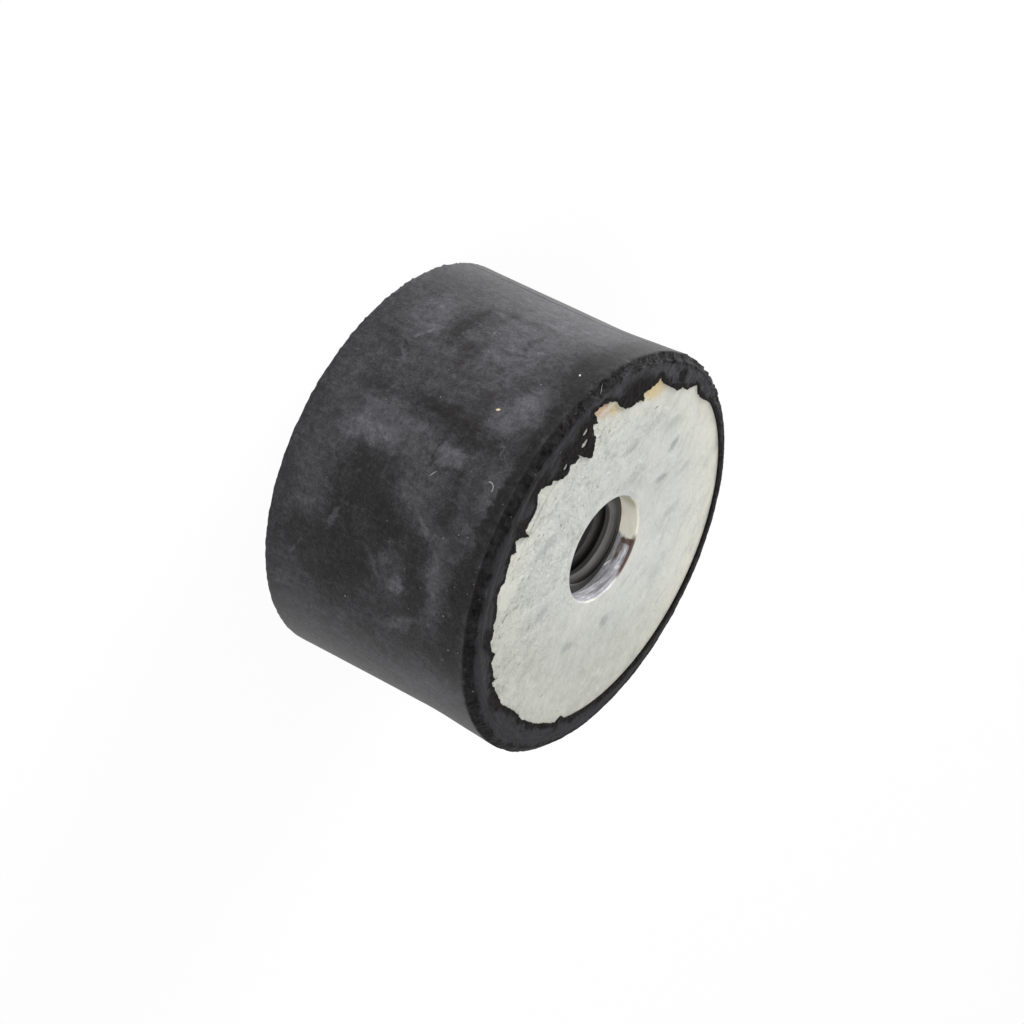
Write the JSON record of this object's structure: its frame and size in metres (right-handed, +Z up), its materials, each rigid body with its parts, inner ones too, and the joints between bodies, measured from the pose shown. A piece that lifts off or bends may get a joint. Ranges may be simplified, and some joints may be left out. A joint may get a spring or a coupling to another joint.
{
  "type": "anti-vibration foot",
  "caption": "Round rubber-metal foot with a plain rubber sole, a steel plate bonded into its top, and a blind threaded hole for a screw from above.",
  "frame": {"origin": "centre of the sole, on the surface that the foot stands on", "axes": "+Z up along the foot, from the sole to the steel plate; the insert lies 0.4 mm off centre towards -X, and the long torn tongues of the lip are towards -Y"},
  "size_m": [0.025, 0.025, 0.015],
  "materials": {
    "moulded_rubber": "matt moulded rubber with a dusty bloom, torn at the lip",
    "zinc_plated_steel": "dull pale zinc plating, finely pitted",
    "bare_steel": "oily dark steel thread"
  },
  "bodies": {
    "root": {"rubber_body": "moulded_rubber", "mounting_plate": "zinc_plated_steel", "threaded_bush": "bare_steel"}
  },
  "joints": []
}
